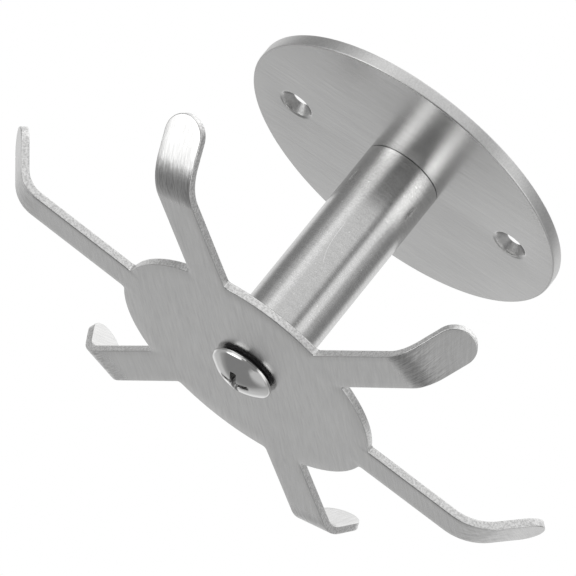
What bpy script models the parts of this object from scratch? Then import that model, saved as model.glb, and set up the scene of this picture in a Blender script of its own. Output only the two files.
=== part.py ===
"""Rotating ceiling hook of satin stainless steel.

A round plate is screwed to a ceiling or under a shelf, a round post hangs from it, and a hook plate
with six turned-up arms turns freely on a large cross-recess screw at the post's lower end.

Metres, +Z up. The origin is the centre of the plate's mounting face, which lies in z = 0, and
everything hangs below it. The two mounting holes lie on the X axis, and the hook plate turns about Z.
"""
import math

import bmesh
import bpy

# Round plate, with a shallow recess behind, so that it bears on its rim
PLATE_DIAMETER = 0.087
PLATE_THICKNESS = 0.0032
PLATE_EDGE_ROUND = 0.0004
RECESS_DEPTH = 0.0011
RIM_WIDTH = 0.004

# Two countersunk mounting holes, seen from the room side
MOUNT_HOLE_SPACING = 0.062
MOUNT_HOLE_DIAMETER = 0.0046
MOUNT_SINK_DIAMETER = 0.0090

# Flat-head screw that pulls the post against the plate from behind
PLATE_SCREW_DIAMETER = 0.005
PLATE_SCREW_HEAD_DIAMETER = 0.0092
PLATE_SCREW_HEAD_RIM = 0.0003
PLATE_SCREW_LENGTH = 0.012
PLATE_SCREW_PROUD = 0.0008
PLATE_SCREW_SOCKET_WIDTH = 0.003
PLATE_SCREW_SOCKET_DEPTH = 0.0015

# Post: a drawn tube with a threaded plug in each end
POST_DIAMETER = 0.020
POST_WALL = 0.0015
POST_LENGTH = 0.0598
POST_EDGE_CHAMFER = 0.0002
PLUG_LENGTH = 0.012
PLUG_EDGE_CHAMFER = 0.0005

# Hook plate, cut from sheet and bent
SHEET_THICKNESS = 0.002
HUB_DIAMETER = 0.0702
ARM_WIDTH = 0.0104
ARM_BEND_START = 0.0608
ARM_BEND_INNER_RADIUS = 0.0105
ARM_TIP_STRAIGHT = 0.0130
ARM_ROOT_FILLET = 0.0010
SHEET_EDGE_ROUND = 0.0002

# Flanged bush that the hook plate turns with
BUSH_WALL = 0.0009
BUSH_FLANGE_DIAMETER = 0.017
BUSH_FLANGE_THICKNESS = 0.0008

# Washer and screw that carry the hook plate
WASHER_DIAMETER = 0.0156
WASHER_THICKNESS = 0.0007
WASHER_EDGE_ROUND = 0.0002
PIVOT_SCREW_DIAMETER = 0.008
PIVOT_SCREW_HEAD_DIAMETER = 0.0166
PIVOT_SCREW_HEAD_RIM = 0.0010
PIVOT_SCREW_DOME_HEIGHT = 0.0020
PIVOT_SCREW_GRIP = 0.010
CROSS_SPAN = 0.0078
CROSS_WING_WIDTH = 0.0017
CROSS_DEPTH = 0.0026

# Clearance between pieces that seat on or run in each other, the cutters' overrun, the weld distance
GAP = 0.0003
OVERRUN = 0.001
WELD_DISTANCE = 0.000001

# Counts and angles
ARM_COUNT = 6
HOOK_TURN = math.radians(9.6)
ARM_BEND_ANGLE = math.radians(47.0)
CROSS_TURN = math.radians(-10.0)
SHARP_ANGLE = math.radians(30.0)
PLATE_SEGMENTS = 96
POST_SEGMENTS = 64
HEAD_SEGMENTS = 48
SHANK_SEGMENTS = 32
EDGE_STEPS = 3
DOME_STEPS = 8
HUB_ARC_STEPS = 10
FILLET_STEPS = 3
BEND_STEPS = 10
TIP_STEPS = 8

# Shares of the cross recess's mouth that its floor keeps
CROSS_FLOOR_SPAN_SHARE = 0.45
CROSS_FLOOR_WIDTH_SHARE = 0.7

# Heights, worked out from the ceiling down
PLATE_FRONT_Z = -PLATE_THICKNESS
WEB_BACK_Z = -RECESS_DEPTH
PLATE_SCREW_TOP_Z = WEB_BACK_Z + PLATE_SCREW_PROUD
POST_TOP_Z = PLATE_FRONT_Z - GAP
POST_BOTTOM_Z = POST_TOP_Z - POST_LENGTH
FLANGE_TOP_Z = POST_BOTTOM_Z - GAP
FLANGE_BOTTOM_Z = FLANGE_TOP_Z - BUSH_FLANGE_THICKNESS
SHEET_TOP_Z = FLANGE_BOTTOM_Z - GAP
SHEET_BOTTOM_Z = SHEET_TOP_Z - SHEET_THICKNESS
WASHER_TOP_Z = SHEET_BOTTOM_Z - GAP
WASHER_BOTTOM_Z = WASHER_TOP_Z - WASHER_THICKNESS
HEAD_TOP_Z = WASHER_BOTTOM_Z - GAP

# Radii that follow from the fits
PLATE_BORE_RADIUS = PLATE_SCREW_DIAMETER / 2 + GAP
PLUG_RADIUS = POST_DIAMETER / 2 - POST_WALL - GAP
BUSH_BORE_RADIUS = PIVOT_SCREW_DIAMETER / 2 + GAP
BUSH_OUTER_RADIUS = BUSH_BORE_RADIUS + BUSH_WALL
HUB_BORE_RADIUS = BUSH_OUTER_RADIUS + GAP


def clear_scene():
    """Remove every object, so that the part starts from nothing."""
    for thing in list(bpy.data.objects):
        bpy.data.objects.remove(thing, do_unlink=True)


def finish(name, colour, roughness, metallic):
    """A plain surface finish: colour, roughness and metallic value."""
    material = bpy.data.materials.new(name)
    material.use_nodes = True
    shader = material.node_tree.nodes["Principled BSDF"]
    shader.inputs["Base Color"].default_value = (*colour, 1.0)
    shader.inputs["Roughness"].default_value = roughness
    shader.inputs["Metallic"].default_value = metallic
    material.diffuse_color = (*colour, 1.0)
    return material


def arc(centre, radius, start, end, steps):
    """Points of an arc about centre, from angle start to angle end, both included."""
    points = []
    for step in range(steps + 1):
        angle = start + (end - start) * step / steps
        points.append((centre[0] + radius * math.cos(angle), centre[1] + radius * math.sin(angle)))
    return points


def add_object(name, mesh, material=None, parent=None):
    """Link a mesh as a named object, with smooth shading that breaks at sharp edges."""
    thing = bpy.data.objects.new(name, mesh)
    bpy.context.scene.collection.objects.link(thing)
    if material is not None:
        mesh.materials.append(material)
    if parent is not None:
        thing.parent = parent
    mesh.shade_smooth()
    mesh.set_sharp_from_angle(angle=SHARP_ANGLE)
    return thing


def turned_mesh(name, profile, segments):
    """Turn a profile of (radius, height) points about Z.

    A profile that stays off the axis is closed into a ring, and one that starts and ends on the
    axis is left open, because the axis closes it.
    """
    shell = bmesh.new()
    corners = [shell.verts.new((radius, 0.0, height)) for radius, height in profile]
    edges = [shell.edges.new(pair) for pair in zip(corners, corners[1:])]
    if profile[0][0] > WELD_DISTANCE:
        edges.append(shell.edges.new((corners[-1], corners[0])))
    bmesh.ops.spin(shell, geom=corners + edges, cent=(0.0, 0.0, 0.0), axis=(0.0, 0.0, 1.0),
                   angle=math.tau, steps=segments)
    bmesh.ops.remove_doubles(shell, verts=shell.verts, dist=WELD_DISTANCE)
    bmesh.ops.recalc_face_normals(shell, faces=shell.faces)
    mesh = bpy.data.meshes.new(name)
    shell.to_mesh(mesh)
    shell.free()
    return mesh


def hide_cutter(cutter):
    """A cutter only guides a cut: it isn't a piece of the part."""
    cutter.hide_render = True
    cutter.display_type = "WIRE"


def cut(target, cutter):
    """Take the cutter's solid away from the target."""
    hide_cutter(cutter)
    modifier = target.modifiers.new("cut_by_" + cutter.name, "BOOLEAN")
    modifier.operation = "DIFFERENCE"
    modifier.solver = "EXACT"
    modifier.object = cutter


def base_plate(material):
    """Turned plate with rounded edges, a recess behind and a countersunk hole for the post's screw."""
    outer = PLATE_DIAMETER / 2
    rounding = PLATE_EDGE_ROUND
    recess = outer - RIM_WIDTH
    sink = plate_sink_radius(WEB_BACK_Z)
    profile = [(PLATE_BORE_RADIUS, PLATE_FRONT_Z)]
    profile += arc((outer - rounding, PLATE_FRONT_Z + rounding), rounding, -math.pi / 2, 0.0, EDGE_STEPS)
    profile += arc((outer - rounding, -rounding), rounding, 0.0, math.pi / 2, EDGE_STEPS)
    profile += [(recess, 0.0), (recess, WEB_BACK_Z), (sink, WEB_BACK_Z)]
    profile += [(PLATE_BORE_RADIUS, WEB_BACK_Z - (sink - PLATE_BORE_RADIUS))]
    plate = add_object("base_plate", turned_mesh("base_plate", profile, PLATE_SEGMENTS), material)
    for side, name in ((-1, "left"), (1, "right")):
        cutter = add_object("mount_hole_" + name, mount_hole_mesh(name))
        cutter.location.x = side * MOUNT_HOLE_SPACING / 2
        cut(plate, cutter)
    return plate


def plate_sink_radius(height):
    """Radius of the countersink for the post's screw: the screw's cone, moved out by the gap."""
    head_radius = PLATE_SCREW_HEAD_DIAMETER / 2
    cone_top = PLATE_SCREW_TOP_Z - PLATE_SCREW_HEAD_RIM
    return head_radius - (cone_top - height) + GAP * math.sqrt(2.0)


def mount_hole_mesh(name):
    """Cutter of a mounting hole: a through hole with a right-angled countersink on the room side."""
    hole = MOUNT_HOLE_DIAMETER / 2
    sink = MOUNT_SINK_DIAMETER / 2
    profile = [(0.0, OVERRUN), (hole, OVERRUN)]
    profile += [(hole, PLATE_FRONT_Z + (sink - hole)), (sink + OVERRUN, PLATE_FRONT_Z - OVERRUN)]
    profile += [(0.0, PLATE_FRONT_Z - OVERRUN)]
    return turned_mesh("mount_hole_" + name, profile, SHANK_SEGMENTS)


def plate_screw(material):
    """Flat-head screw from behind the plate into the upper plug, with a six-sided socket."""
    head = PLATE_SCREW_HEAD_DIAMETER / 2
    shank = PLATE_SCREW_DIAMETER / 2
    cone_top = PLATE_SCREW_TOP_Z - PLATE_SCREW_HEAD_RIM
    end = PLATE_SCREW_TOP_Z - PLATE_SCREW_LENGTH
    profile = [(0.0, PLATE_SCREW_TOP_Z), (head, PLATE_SCREW_TOP_Z), (head, cone_top)]
    profile += [(shank, cone_top - (head - shank)), (shank, end), (0.0, end)]
    screw = add_object("plate_screw", turned_mesh("plate_screw", profile, SHANK_SEGMENTS), material)
    socket = PLATE_SCREW_SOCKET_WIDTH / math.sqrt(3.0)
    floor = PLATE_SCREW_TOP_Z - PLATE_SCREW_SOCKET_DEPTH
    mouth = PLATE_SCREW_TOP_Z + OVERRUN
    sides = [(0.0, mouth), (socket, mouth), (socket, floor), (0.0, floor)]
    cut(screw, add_object("socket", turned_mesh("socket", sides, 6)))
    return screw


def post_tube(material):
    """Drawn tube, with both ends faced square and lightly chamfered outside."""
    outer = POST_DIAMETER / 2
    inner = outer - POST_WALL
    chamfer = POST_EDGE_CHAMFER
    profile = [(inner, -POST_LENGTH), (outer - chamfer, -POST_LENGTH), (outer, chamfer - POST_LENGTH)]
    profile += [(outer, -chamfer), (outer - chamfer, 0.0), (inner, 0.0)]
    post = add_object("post_tube", turned_mesh("post_tube", profile, POST_SEGMENTS), material)
    post.location.z = POST_TOP_Z
    return post


def plug(name, top, bore, material):
    """Plug with a threaded bore, pressed into one end of the tube."""
    chamfer = PLUG_EDGE_CHAMFER
    profile = [(bore, -PLUG_LENGTH), (PLUG_RADIUS - chamfer, -PLUG_LENGTH)]
    profile += [(PLUG_RADIUS, chamfer - PLUG_LENGTH), (PLUG_RADIUS, -chamfer)]
    profile += [(PLUG_RADIUS - chamfer, 0.0), (bore, 0.0)]
    piece = add_object(name, turned_mesh(name, profile, POST_SEGMENTS), material)
    piece.location.z = top
    return piece


def sheet_middle(length):
    """Radius and height of the sheet's middle at a length along an arm, measured from the hub's centre.

    The arm runs level to the bend, turns up about a centre above it, and ends in a straight tip.
    """
    radius = ARM_BEND_INNER_RADIUS + SHEET_THICKNESS / 2
    turned = min(max((length - ARM_BEND_START) / radius, 0.0), ARM_BEND_ANGLE)
    straight = max(length - ARM_BEND_START - radius * ARM_BEND_ANGLE, 0.0)
    level = min(length, ARM_BEND_START)
    out = level + radius * math.sin(turned) + straight * math.cos(ARM_BEND_ANGLE)
    up = radius * (1.0 - math.cos(turned)) + straight * math.sin(ARM_BEND_ANGLE)
    return out, up


def arm_stations(root):
    """Lengths along an arm, each with half the arm's width there: the end is a half circle."""
    half = ARM_WIDTH / 2
    bend_length = (ARM_BEND_INNER_RADIUS + SHEET_THICKNESS / 2) * ARM_BEND_ANGLE
    end_centre = ARM_BEND_START + bend_length + ARM_TIP_STRAIGHT - half
    lengths = [ARM_BEND_START + bend_length * step / BEND_STEPS for step in range(BEND_STEPS + 1)]
    lengths += [end_centre + half * math.sin(math.pi / 2 * step / TIP_STEPS) for step in range(TIP_STEPS + 1)]
    stations = [(root, half)]
    for length in sorted(lengths):
        if length - stations[-1][0] > SHEET_EDGE_ROUND:
            past = max(length - end_centre, 0.0)
            stations.append((length, math.sqrt(max(half ** 2 - past ** 2, 0.0))))
    return stations


def hook_plate(material, axis):
    """One piece of sheet: a round hub, six arms with round ends, each bent up, and small root fillets.

    The sheet's middle is drawn flat and bent by the arm's rule, then thickened to both sides.
    """
    hub = HUB_DIAMETER / 2
    half = ARM_WIDTH / 2
    fillet = ARM_ROOT_FILLET
    fillet_x = math.sqrt((hub + fillet) ** 2 - (half + fillet) ** 2)
    fillet_angle = math.atan2(half + fillet, fillet_x)
    pitch = math.tau / ARM_COUNT
    shell = bmesh.new()
    rim = []
    arms = []

    def place(turn, x, y, z=0.0):
        cosine = math.cos(turn)
        sine = math.sin(turn)
        return shell.verts.new((x * cosine - y * sine, x * sine + y * cosine, z))

    for index in range(ARM_COUNT):
        turn = index * pitch
        right = place(turn, fillet_x, -half)
        left = place(turn, fillet_x, half)
        arms.append((turn, right, left))
        curve = arc((fillet_x, half + fillet), fillet, -math.pi / 2, fillet_angle - math.pi, FILLET_STEPS)[1:]
        curve += arc((0.0, 0.0), hub, fillet_angle, pitch - fillet_angle, HUB_ARC_STEPS)[1:]
        mirrored = arc((fillet_x, -half - fillet), fillet, math.pi - fillet_angle, math.pi / 2, FILLET_STEPS)
        rim += [right, left] + [place(turn, x, y) for x, y in curve]
        rim += [place(turn + pitch, x, y) for x, y in mirrored[1:-1]]
    shell.faces.new(rim)

    for turn, right, left in arms:
        for length, width in arm_stations(fillet_x)[1:]:
            out, up = sheet_middle(length)
            if width > SHEET_EDGE_ROUND:
                next_right = place(turn, out, -width, up)
                next_left = place(turn, out, width, up)
                shell.faces.new((right, next_right, next_left, left))
                right, left = next_right, next_left
            else:
                shell.faces.new((right, place(turn, out, 0.0, up), left))
    mesh = bpy.data.meshes.new("hook_plate")
    shell.to_mesh(mesh)
    shell.free()
    plate = add_object("hook_plate", mesh, material, axis)

    sheet = plate.modifiers.new("sheet", "SOLIDIFY")
    sheet.thickness = SHEET_THICKNESS
    sheet.offset = 0.0
    sheet.use_even_offset = True
    bore_end = SHEET_THICKNESS / 2 + OVERRUN
    bore = [(0.0, bore_end), (HUB_BORE_RADIUS, bore_end), (HUB_BORE_RADIUS, -bore_end), (0.0, -bore_end)]
    cutter = add_object("hub_bore", turned_mesh("hub_bore", bore, POST_SEGMENTS), None, axis)
    cut(plate, cutter)
    edges = plate.modifiers.new("eased_edges", "BEVEL")
    edges.width = SHEET_EDGE_ROUND
    edges.segments = 1
    edges.limit_method = "ANGLE"
    edges.angle_limit = math.radians(60.0)
    return plate


def pivot_bush(material, axis):
    """Flanged sleeve: the sleeve fills the hub's hole, and the flange runs under the post's end."""
    middle = (SHEET_TOP_Z + SHEET_BOTTOM_Z) / 2
    top = FLANGE_TOP_Z - middle
    under = FLANGE_BOTTOM_Z - middle
    end = SHEET_BOTTOM_Z - middle
    flange = BUSH_FLANGE_DIAMETER / 2
    profile = [(BUSH_BORE_RADIUS, end), (BUSH_OUTER_RADIUS, end), (BUSH_OUTER_RADIUS, under)]
    profile += [(flange, under), (flange, top), (BUSH_BORE_RADIUS, top)]
    return add_object("pivot_bush", turned_mesh("pivot_bush", profile, POST_SEGMENTS), material, axis)


def head_washer(material):
    """Dark washer between the screw's head and the hook plate, nearly as wide as the head."""
    outer = WASHER_DIAMETER / 2
    rounding = WASHER_EDGE_ROUND
    profile = [(BUSH_BORE_RADIUS, -WASHER_THICKNESS), (outer - rounding, -WASHER_THICKNESS)]
    profile += [(outer, rounding - WASHER_THICKNESS), (outer, -rounding), (outer - rounding, 0.0)]
    profile += [(BUSH_BORE_RADIUS, 0.0)]
    washer = add_object("head_washer", turned_mesh("head_washer", profile, HEAD_SEGMENTS), material)
    washer.location.z = WASHER_TOP_Z
    return washer


def pivot_screw(material):
    """Screw with a wide low dome and a tapered cross recess, held in the lower plug."""
    shank = PIVOT_SCREW_DIAMETER / 2
    head = PIVOT_SCREW_HEAD_DIAMETER / 2
    rim = PIVOT_SCREW_HEAD_RIM
    end = POST_BOTTOM_Z + PIVOT_SCREW_GRIP - HEAD_TOP_Z
    profile = [(0.0, end), (shank, end), (shank, 0.0), (head, 0.0)]
    for step in range(DOME_STEPS):
        angle = math.pi / 2 * step / DOME_STEPS
        profile.append((head * math.cos(angle), -rim - PIVOT_SCREW_DOME_HEIGHT * math.sin(angle)))
    profile.append((0.0, -rim - PIVOT_SCREW_DOME_HEIGHT))
    screw = add_object("pivot_screw", turned_mesh("pivot_screw", profile, HEAD_SEGMENTS), material)
    screw.location.z = HEAD_TOP_Z
    cutter = add_object("cross_recess", cross_mesh())
    cutter.location.z = HEAD_TOP_Z - rim - PIVOT_SCREW_DOME_HEIGHT
    cutter.rotation_euler.z = CROSS_TURN
    cut(screw, cutter)
    return screw


def cross_outline(span, width):
    """The twelve corners of a cross of four equal wings."""
    reach = span / 2
    side = width / 2
    quarter = [(side, -side), (reach, -side), (reach, side)]
    return [turned(point, index * math.pi / 2) for index in range(4) for point in quarter]


def turned(point, angle):
    """A point turned about the origin."""
    x, y = point
    return x * math.cos(angle) - y * math.sin(angle), x * math.sin(angle) + y * math.cos(angle)


def cross_mesh():
    """Cutter of the cross recess: wings that narrow and draw in from the mouth to the floor."""
    shell = bmesh.new()
    mouth = cross_outline(CROSS_SPAN, CROSS_WING_WIDTH)
    floor = cross_outline(CROSS_SPAN * CROSS_FLOOR_SPAN_SHARE, CROSS_WING_WIDTH * CROSS_FLOOR_WIDTH_SHARE)
    levels = []
    for outline, height in ((mouth, -OVERRUN), (mouth, 0.0), (floor, CROSS_DEPTH)):
        ring = [shell.verts.new((x, y, height)) for x, y in outline]
        levels.append([shell.edges.new((ring[index - 1], ring[index])) for index in range(len(ring))])
        if height != 0.0:
            shell.faces.new(ring)
    bmesh.ops.bridge_loops(shell, edges=levels[0] + levels[1])
    bmesh.ops.bridge_loops(shell, edges=levels[1] + levels[2])
    bmesh.ops.recalc_face_normals(shell, faces=shell.faces)
    mesh = bpy.data.meshes.new("cross_recess")
    shell.to_mesh(mesh)
    shell.free()
    return mesh


def build():
    """Make every piece and hang it below the ceiling."""
    clear_scene()
    satin_plate = finish("satin_plate", (0.62, 0.62, 0.62), 0.34, 1.0)
    satin_post = finish("satin_post", (0.64, 0.64, 0.64), 0.28, 1.0)
    brushed_sheet = finish("brushed_sheet", (0.60, 0.60, 0.60), 0.36, 1.0)
    polished_steel = finish("polished_steel", (0.70, 0.70, 0.70), 0.12, 1.0)
    zinc_steel = finish("zinc_steel", (0.52, 0.53, 0.55), 0.35, 1.0)
    machined_plug = finish("machined_plug", (0.48, 0.48, 0.48), 0.40, 1.0)
    white_nylon = finish("white_nylon", (0.78, 0.77, 0.74), 0.50, 0.0)
    black_nylon = finish("black_nylon", (0.02, 0.02, 0.02), 0.45, 0.0)

    axis = bpy.data.objects.new("hook_axis", None)
    bpy.context.scene.collection.objects.link(axis)
    axis.location.z = (SHEET_TOP_Z + SHEET_BOTTOM_Z) / 2
    axis.rotation_euler.z = HOOK_TURN

    base_plate(satin_plate)
    plate_screw(zinc_steel)
    post_tube(satin_post)
    plug("upper_plug", POST_TOP_Z, PLATE_BORE_RADIUS, machined_plug)
    plug("lower_plug", POST_BOTTOM_Z + PLUG_LENGTH, BUSH_BORE_RADIUS, machined_plug)
    hook_plate(brushed_sheet, axis)
    pivot_bush(white_nylon, axis)
    head_washer(black_nylon)
    pivot_screw(polished_steel)


build()
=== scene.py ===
# %% [markdown]
# # A rotating ceiling hook in satin steel
# The object hangs under a ceiling or a closet shelf: a round plate, a post, and a hook plate with
# six turned-up arms that spins on a large screw. This lesson loads its fixed solids, works out each
# visible piece again as a finer surface, gives every piece a finish, and sets up a small studio.

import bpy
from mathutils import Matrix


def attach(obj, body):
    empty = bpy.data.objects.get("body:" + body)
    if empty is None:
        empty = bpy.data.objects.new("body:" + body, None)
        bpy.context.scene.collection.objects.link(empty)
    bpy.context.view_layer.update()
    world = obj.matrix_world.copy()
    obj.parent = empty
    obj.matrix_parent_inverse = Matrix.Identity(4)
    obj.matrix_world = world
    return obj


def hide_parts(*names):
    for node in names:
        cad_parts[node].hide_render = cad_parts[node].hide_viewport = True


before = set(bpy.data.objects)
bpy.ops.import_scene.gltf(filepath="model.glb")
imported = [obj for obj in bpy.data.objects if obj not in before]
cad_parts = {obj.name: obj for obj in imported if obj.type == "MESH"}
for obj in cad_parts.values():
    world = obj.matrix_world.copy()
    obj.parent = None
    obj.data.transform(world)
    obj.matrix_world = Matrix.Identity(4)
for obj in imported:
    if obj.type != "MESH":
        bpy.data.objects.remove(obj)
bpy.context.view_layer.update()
print("solids:", ", ".join(sorted(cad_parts)))

# %% [markdown]
# ## Units and tools
# Everything is in metres with Z up, as in the frame. The object is small, so its sizes are written
# in millimetres times MM. Points are worked out as whole arrays, and only then become meshes.

# %% Tools used below
import math

import bmesh
import bpy
import numpy as np
from mathutils import Matrix, Vector
from mathutils.geometry import delaunay_2d_cdt

MM = 0.001
print("one millimetre is", MM, "m")

# %% [markdown]
# ## The viewpoint
# The picture was taken with a long lens from below, and then turned so that the post leans to the
# upper right. A camera is a place, a point that it looks at, and a roll about that line. The lens
# is long because the round plate shows almost no perspective.

# %% Camera
CAMERA_PLACE = Vector((0.348133, -1.390630, -0.623173))
CAMERA_TARGET = Vector((-0.004480, 0.000958, -0.043224))
CAMERA_ROLL = math.radians(39.07)
CAMERA_LENS = 412.25
SENSOR_WIDTH = 36.0
CAMERA_CLIP = (0.01, 60.0)


def make_camera(place, target, roll, lens):
    """Look from place to target with a level horizon, then turn by roll about the line of sight."""
    data = bpy.data.cameras.new("camera")
    data.sensor_width = SENSOR_WIDTH
    data.lens = lens
    data.clip_start, data.clip_end = CAMERA_CLIP
    camera = bpy.data.objects.new("camera", data)
    bpy.context.scene.collection.objects.link(camera)
    level = (target - place).to_track_quat("-Z", "Y").to_matrix()
    rolled = level @ Matrix.Rotation(roll, 3, "Z")
    camera.matrix_world = Matrix.Translation(place) @ rolled.to_4x4()
    return camera


bpy.context.scene.camera = make_camera(CAMERA_PLACE, CAMERA_TARGET, CAMERA_ROLL, CAMERA_LENS)
print("camera distance", round((CAMERA_TARGET - CAMERA_PLACE).length, 3), "m")

# %% [markdown]
# ## Surfaces from arrays
# Every visible piece is a closed surface made of grids of points: a grid has rows and columns, and
# four neighbours make one face. Profiles are turned round an axis or carried along a rim. The grids
# of a piece share their border points, so a weld can close it.


# %% Grids and their faces
def grid_faces(rows, columns, wrap=False):
    """Corner numbers of a grid's quads, row by row. With wrap, the last column meets the first."""
    number = np.arange(rows * columns).reshape(rows, columns)
    if wrap:
        number = np.concatenate([number, number[:, :1]], axis=1)
    corners = [number[:-1, :-1], number[:-1, 1:], number[1:, 1:], number[1:, :-1]]
    return np.stack(corners, axis=-1).reshape(-1, 4)


def patch(grid, wrap=False):
    """A grid of points, rows by columns by three, as (points, faces)."""
    rows, columns = grid.shape[:2]
    return grid.reshape(-1, 3), grid_faces(rows, columns, wrap)


def join(patches):
    """One list of points and faces from several (points, faces) pairs."""
    points, faces, count = [], [], 0
    for patch_points, patch_faces in patches:
        points.append(patch_points)
        faces += (np.asarray(patch_faces) + count).tolist()
        count += len(patch_points)
    return np.concatenate(points), faces


print("a grid of 3 by 4 points has", len(grid_faces(3, 4)), "faces,",
      len(grid_faces(3, 4, True)), "wrapped")


# %% Arcs, turned profiles and moved points
def circled(radius, angle):
    """Points round the origin: radius times (cosine, sine) of each angle."""
    return radius * np.stack([np.cos(angle), np.sin(angle)], axis=-1)


def arc(centre, radius, start, end, steps):
    """Points of an arc in a plane: the circle's, from start to end in degrees, plus the centre."""
    return circled(radius, np.radians(np.linspace(start, end, steps + 1))) + centre


def spun(profile, segments, centre=(0.0, 0.0)):
    """Turn a profile of (radius, height) points round an upright axis through centre.

    x and y are the centre plus the radius times the angle's cosine and sine, and z is the height.
    """
    profile = np.asarray(profile, float)
    angle = np.linspace(0.0, math.tau, segments, endpoint=False)
    x = centre[0] + np.outer(profile[:, 0], np.cos(angle))
    y = centre[1] + np.outer(profile[:, 0], np.sin(angle))
    z = np.repeat(profile[:, 1:], segments, axis=1)
    return patch(np.stack([x, y, z], axis=-1), wrap=True)


def turned(points, angle):
    """Turn points about Z: x cosine - y sine, and x sine + y cosine. A third column stays."""
    cosine, sine = math.cos(angle), math.sin(angle)
    x, y = points[:, 0], points[:, 1]
    return np.column_stack([x * cosine - y * sine, x * sine + y * cosine, points[:, 2:]])


def lifted(flat, height):
    """Flat (x, y) points at one height, or each at its own."""
    return np.concatenate([flat, np.broadcast_to(height, flat.shape[:-1])[..., None]], axis=-1)


print("an arc of 4 steps has", len(arc((0.0, 0.0), MM, 0.0, 90.0, 4)), "points")

# %% [markdown]
# ## From patches to a piece
# The patches of a piece are welded at their shared borders, and after the weld all faces are turned
# outwards together. A crease sharper than the limit stays a crease, and all else is shaded smooth.
# The piece stands for one of the fixed solids and rides on the same body.

# %% Weld and hand over
WELD_GAP = 0.002 * MM
CREASE = math.radians(28.0)


def make_piece(name, patches, body, node, finish, marks=None):
    """Weld the patches into one closed mesh, turn it outwards, and let it stand for a solid.

    marks holds extra vectors per point, under their names, for the finish to read.
    """
    points, faces = join(patches)
    mesh = bpy.data.meshes.new(name)
    mesh.from_pydata(points, [], faces)
    for key, values in (marks or {}).items():
        mesh.attributes.new(key, "FLOAT_VECTOR", "POINT").data.foreach_set("vector", values.ravel())
    shell = bmesh.new()
    shell.from_mesh(mesh)
    bmesh.ops.remove_doubles(shell, verts=shell.verts, dist=WELD_GAP)
    bmesh.ops.recalc_face_normals(shell, faces=shell.faces)
    shell.to_mesh(mesh)
    open_edges = sum(not edge.is_manifold for edge in shell.edges)
    shell.free()
    mesh.shade_smooth()
    mesh.set_sharp_from_angle(angle=CREASE)
    mesh.materials.append(finish)
    thing = bpy.data.objects.new(name, mesh)
    bpy.context.scene.collection.objects.link(thing)
    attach(thing, body)
    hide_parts(node)
    print(name, len(mesh.polygons), "faces,", open_edges, "open edges")


# %% [markdown]
# ## Shader sums
# A finish is a small formula: a pattern changes the colour, the roughness and the fine relief of
# the surface. The Value class wraps the output of a node, so that + - * and abs add the Math nodes,
# and Nodes.add makes any other node.


# %% Values and nodes
class Value:
    """The output of a node, which takes part in sums with numbers and other values."""

    def __init__(self, nodes, socket):
        self.nodes, self.socket = nodes, socket

    def math(self, operation, *others):
        """One operation on this value and any others."""
        return self.nodes.math(operation, self, *others)

    def __add__(self, other):
        return self.math("ADD", other)

    def __radd__(self, other):
        return self.nodes.math("ADD", other, self)

    def __sub__(self, other):
        return self.math("SUBTRACT", other)

    def __rsub__(self, other):
        return self.nodes.math("SUBTRACT", other, self)

    def __mul__(self, other):
        return self.math("MULTIPLY", other)

    def __rmul__(self, other):
        return self.nodes.math("MULTIPLY", other, self)

    def __abs__(self):
        return self.math("ABSOLUTE")


class Nodes:
    """The node tree of a material or a world, and the one way to add a node to it."""

    def __init__(self, tree):
        self.tree = tree

    def add(self, kind, settings=None, inputs=None, output=0):
        """Make a node, set its settings, then give its sockets values or links."""
        made = self.tree.nodes.new(kind)
        for key, value in (settings or {}).items():
            setattr(made, key, value)
        for key, value in (inputs or {}).items():
            self.plug(made.inputs[key], value)
        return Value(self, made.outputs[output])

    def plug(self, socket, value):
        """Link a value to a socket, or set a plain number, colour or vector on it."""
        if isinstance(value, Value):
            self.tree.links.new(value.socket, socket)
        else:
            socket.default_value = value

    def math(self, operation, *values):
        """A Math node: one operation on its values, in their order."""
        return self.add("ShaderNodeMath", {"operation": operation}, dict(enumerate(values)))

    def parts(self, vector):
        """The x, y and z of a vector as three values."""
        split = self.add("ShaderNodeSeparateXYZ", {}, {"Vector": vector}).socket.node
        return [Value(self, output) for output in split.outputs]

    def step(self, value, start, end, low=0.0, high=1.0):
        """A smooth step: low up to start, high from end on."""
        sockets = {"Value": value, "From Min": start, "From Max": end,
                   "To Min": low, "To Max": high}
        return self.add("ShaderNodeMapRange", {"interpolation_type": "SMOOTHSTEP"}, sockets)

    def window(self, value, start, end, rise, fall):
        """1 from start to end. It rises from 0 over rise before, and falls to 0 over fall after."""
        return self.step(value, start - rise, start) * self.step(value, end, end + fall, 1.0, 0.0)

    def noise(self, place, grains, detail=2.0, roughness=0.5, stretch=(1.0, 1.0, 1.0), turn=0.0):
        """Noise from 0 to 1 with that many grains per metre, turned about Z and stretched first."""
        scales = [grains / s for s in stretch]
        spin = self.mapping(place, "Rotation", (0.0, 0.0, turn))
        sized = self.mapping(spin, "Scale", scales)
        sockets = {"Vector": sized, "Scale": 1.0, "Detail": detail, "Roughness": roughness}
        return self.add("ShaderNodeTexNoise", {}, sockets)

    def mapping(self, vector, change, amounts):
        """A vector after one change, Rotation or Scale, by its three amounts."""
        sockets = {"Vector": vector, change: amounts}
        return self.add("ShaderNodeMapping", {"vector_type": "POINT"}, sockets)


print("values take + - * and abs, also with the number first")

# %% [markdown]
# ## What every finish has
# A finish is one metal or plastic shader with patterns plugged into its colour, its roughness and
# its normal. All patterns are greys, because steel has hardly any hue: a tint is set beside them.

# %% Finish
EDGE_TINT = (0.82, 0.82, 0.82, 1.0)


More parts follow.
